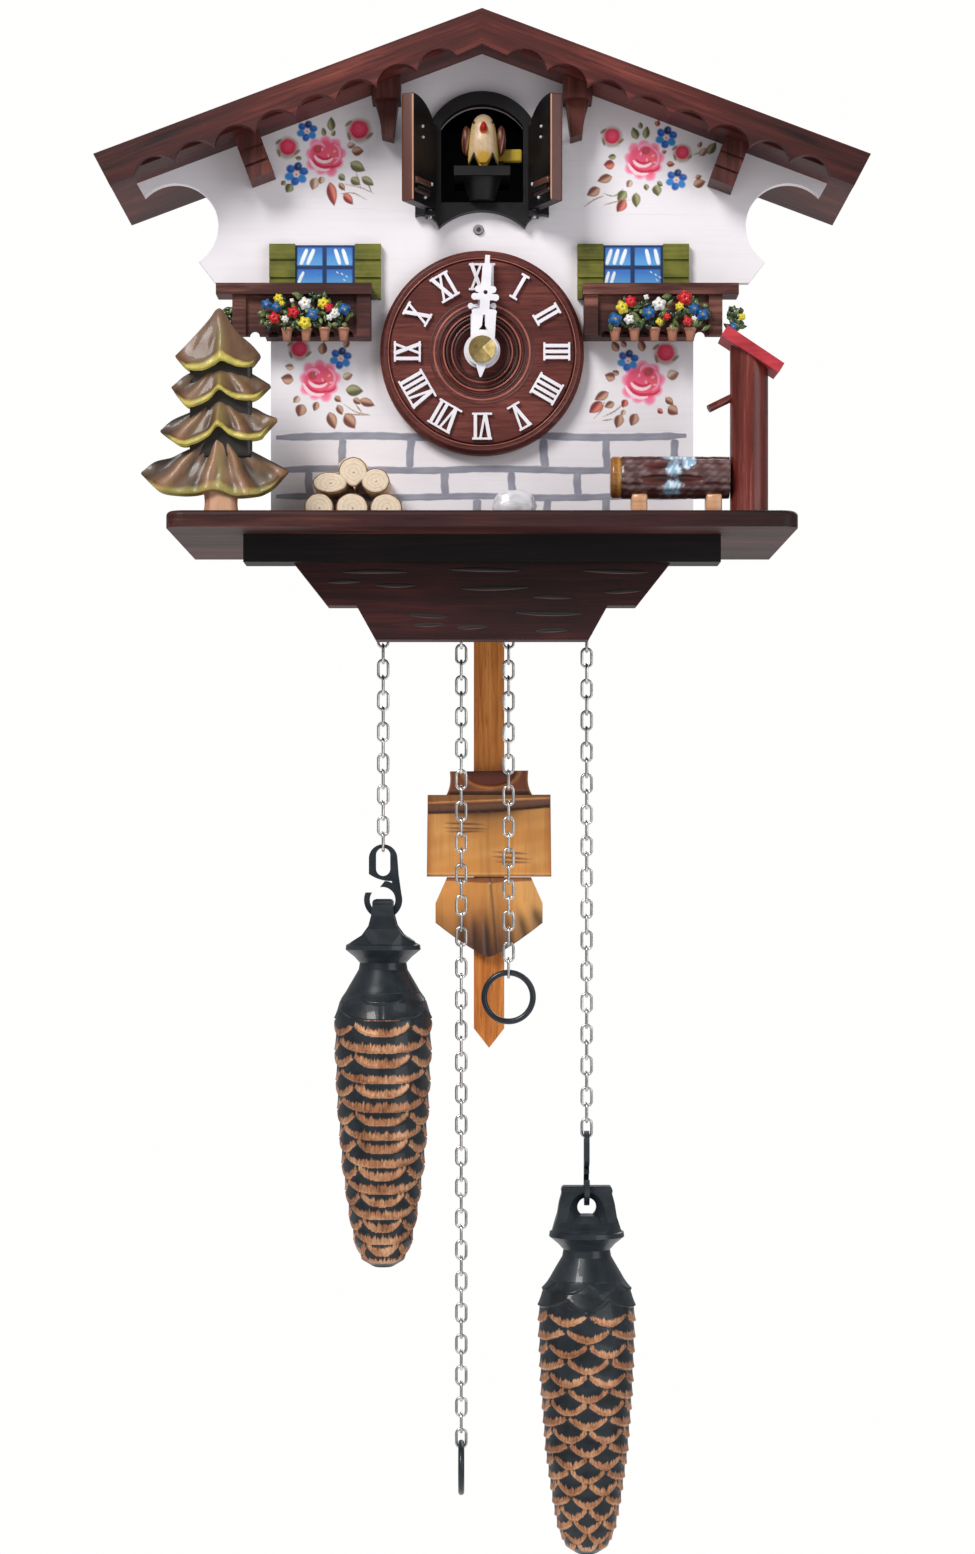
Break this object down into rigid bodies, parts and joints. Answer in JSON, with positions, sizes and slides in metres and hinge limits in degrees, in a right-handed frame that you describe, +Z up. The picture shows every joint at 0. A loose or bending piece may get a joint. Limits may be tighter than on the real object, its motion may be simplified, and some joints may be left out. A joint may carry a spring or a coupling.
{
  "type": "cuckoo clock",
  "caption": "Chalet wall clock with scalloped gable roof, cuckoo behind twin doors, round Roman dial, pendulum, chains and fir-cone weights.",
  "frame": {"origin": "centre of the round hanging hole in the brass hanger plate, on the back face that rests against the wall", "axes": "+X to the right of someone facing the dial, +Y from the dial into the wall, +Z up"},
  "size_m": [0.262, 0.114, 0.5303],
  "materials": {
    "brown_wood": "stained, satin",
    "dark_wood": "stained, satin",
    "case_wood": "stained, matt",
    "chestnut_wood": "stained, satin",
    "pale_wood": "bare",
    "log_wood": "stained, satin",
    "white_paint": "matt paint",
    "green_paint": "satin paint",
    "red_paint": "satin paint",
    "fir_paint": "satin paint",
    "window_paint": "satin paint",
    "flower_mix": "matt",
    "pale_stone": "matt",
    "white_plastic": "satin",
    "black_plastic": "satin",
    "bird_paint": "satin paint",
    "grey_plastic": "moulded",
    "gear_plastic": "moulded",
    "bronze_plastic": "black with brushed bronze highlights",
    "dark_plastic": "satin",
    "brass": "polished",
    "steel": "plain",
    "nickel": "nickel plated"
  },
  "bodies": {
    "case": {"front_panel": "white_paint", "side_walls": "case_wood", "back_board": "case_wood", "hanger_plate": "brass", "roof_boards": "brown_wood", "roof_fascias": "brown_wood", "roof_brackets": "brown_wood", "base_shelf": "dark_wood", "base_moulding": "dark_wood", "apron_boards": "dark_wood", "small_fasteners": "steel", "windows": "window_paint", "shutters": "green_paint", "balconies": "brown_wood", "balcony_flowers": "flower_mix", "fir_tree": "fir_paint", "fountain_post": "brown_wood", "fountain_roof": "red_paint", "trough": "log_wood", "firewood": "pale_wood", "stone": "pale_stone", "dial": "brown_wood", "numerals": "white_plastic", "movement_housing": "grey_plastic", "battery_holder": "grey_plastic", "batteries": "steel", "sound_unit": "grey_plastic", "door_frame": "black_plastic", "doorway_box": "black_plastic", "bird_drive": "grey_plastic", "pendulum_drive": "grey_plastic", "chain_bracket": "steel", "chain_wraps": "nickel"},
    "minute_hand_set": {"minute_arbor": "steel", "minute_hand": "white_plastic", "hand_nut": "brass"},
    "hour_hand_set": {"hour_wheel": "gear_plastic", "hour_hand": "white_plastic"},
    "motion_wheel_set": {"motion_wheel": "gear_plastic"},
    "cuckoo": {"bird_carriage": "black_plastic", "bird": "bird_paint"},
    "leaf_left": {"door_leaf_left": "black_plastic"},
    "leaf_right": {"door_leaf_right": "black_plastic"},
    "pendulum": {"pendulum_stick": "chestnut_wood"},
    "bob": {"pendulum_bob": "chestnut_wood"},
    "rear_door": {"back_door": "case_wood"},
    "catch": {"turn_button": "case_wood"},
    "night_switch": {"mode_switch": "grey_plastic"},
    "weight_line_left": {"weight_chain_left": "nickel", "weight_hook_left": "dark_plastic"},
    "ring_line_left": {"ring_chain_left": "nickel", "pull_ring_left": "dark_plastic"},
    "pulley_wheel_left": {"pulley_left": "gear_plastic"},
    "cone_left": {"cone_weight_left": "bronze_plastic"},
    "weight_line_right": {"weight_chain_right": "nickel", "weight_hook_right": "dark_plastic"},
    "ring_line_right": {"ring_chain_right": "nickel", "pull_ring_right": "dark_plastic"},
    "pulley_wheel_right": {"pulley_right": "gear_plastic"},
    "cone_right": {"cone_weight_right": "bronze_plastic"}
  },
  "joints": [
    {"name": "minute_hand_turn", "type": "hinge", "parent": "case", "child": "minute_hand_set", "pos_m": [0, -0.069, -0.0724], "axis": [0, 1, 0], "continuous": true},
    {"name": "hour_hand_turn", "type": "hinge", "parent": "case", "child": "hour_hand_set", "pos_m": [0, -0.067, -0.0724], "axis": [0, 1, 0], "continuous": true},
    {"name": "setting_knob_turn", "type": "hinge", "parent": "case", "child": "motion_wheel_set", "pos_m": [0, -0.05, -0.0824], "axis": [0, 1, 0], "continuous": true},
    {"name": "cuckoo_slide", "type": "slide", "parent": "case", "child": "cuckoo", "axis": [0, 1, 0], "range_m": [0, 0.026]},
    {"name": "left_leaf_turn", "type": "hinge", "parent": "case", "child": "leaf_left", "pos_m": [-0.0178, -0.0643, 0], "axis": [0, 0, 1], "range_deg": [0, 115]},
    {"name": "right_leaf_turn", "type": "hinge", "parent": "case", "child": "leaf_right", "pos_m": [0.0178, -0.0643, 0], "axis": [0, 0, 1], "range_deg": [-115, 0]},
    {"name": "pendulum_swing", "type": "hinge", "parent": "case", "child": "pendulum", "pos_m": [0.0025, -0.014, -0.085], "axis": [0, 1, 0], "range_deg": [-5, 5]},
    {"name": "bob_setting", "type": "slide", "parent": "pendulum", "child": "bob", "axis": [0, 0, 1], "range_m": [-0.012, 0.012]},
    {"name": "back_door_hinge", "type": "hinge", "parent": "case", "child": "rear_door", "pos_m": [0.0633, -0.0016, -0.08], "axis": [0, 0, 1], "range_deg": [-100, 0]},
    {"name": "catch_turn", "type": "hinge", "parent": "rear_door", "child": "catch", "pos_m": [-0.056, -0.001, -0.08], "axis": [0, 1, 0], "range_deg": [0, 90]},
    {"name": "night_switch_slide", "type": "slide", "parent": "case", "child": "night_switch", "axis": [0, 0, 1], "range_m": [-0.003, 0.003]},
    {"name": "left_weight_travel", "type": "slide", "parent": "case", "child": "weight_line_left", "axis": [0, 0, 1], "range_m": [-0.028, 0.028], "deforming": ["weight_chain_left"]},
    {"name": "left_ring_travel", "type": "slide", "parent": "case", "child": "ring_line_left", "axis": [0, 0, 1], "range_m": [-0.028, 0.028], "deforming": ["ring_chain_left"]},
    {"name": "left_pulley_turn", "type": "hinge", "parent": "case", "child": "pulley_wheel_left", "pos_m": [-0.021, -0.038, -0.119], "axis": [0, 1, 0], "range_deg": [-118, 118]},
    {"name": "left_cone_swing", "type": "hinge", "parent": "weight_line_left", "child": "cone_left", "pos_m": [-0.0347, -0.038, -0.2653], "axis": [1, 0, 0], "range_deg": [-5, 5]},
    {"name": "right_weight_travel", "type": "slide", "parent": "case", "child": "weight_line_right", "axis": [0, 0, 1], "range_m": [-0.028, 0.028], "deforming": ["weight_chain_right"]},
    {"name": "right_ring_travel", "type": "slide", "parent": "case", "child": "ring_line_right", "axis": [0, 0, 1], "range_m": [-0.028, 0.028], "deforming": ["ring_chain_right"]},
    {"name": "right_pulley_turn", "type": "hinge", "parent": "case", "child": "pulley_wheel_right", "pos_m": [0.023, -0.038, -0.119], "axis": [0, 1, 0], "range_deg": [-118, 118]},
    {"name": "right_cone_swing", "type": "hinge", "parent": "weight_line_right", "child": "cone_right", "pos_m": [0.0367, -0.038, -0.3658], "axis": [0, 1, 0], "range_deg": [-5, 5]}
  ],
  "couplings": [
    {"joint": "hour_hand_turn", "follows": "minute_hand_turn", "ratio": 0.083333},
    {"joint": "setting_knob_turn", "follows": "minute_hand_turn", "ratio": -0.33333},
    {"joint": "left_leaf_turn", "follows": "cuckoo_slide", "rad_per_m": 77.19},
    {"joint": "right_leaf_turn", "follows": "cuckoo_slide", "rad_per_m": -77.19},
    {"joint": "left_ring_travel", "follows": "left_weight_travel", "ratio": -1},
    {"joint": "left_pulley_turn", "follows": "left_weight_travel", "rad_per_m": 72.993},
    {"joint": "right_ring_travel", "follows": "right_weight_travel", "ratio": -1},
    {"joint": "right_pulley_turn", "follows": "right_weight_travel", "rad_per_m": -72.993}
  ]
}
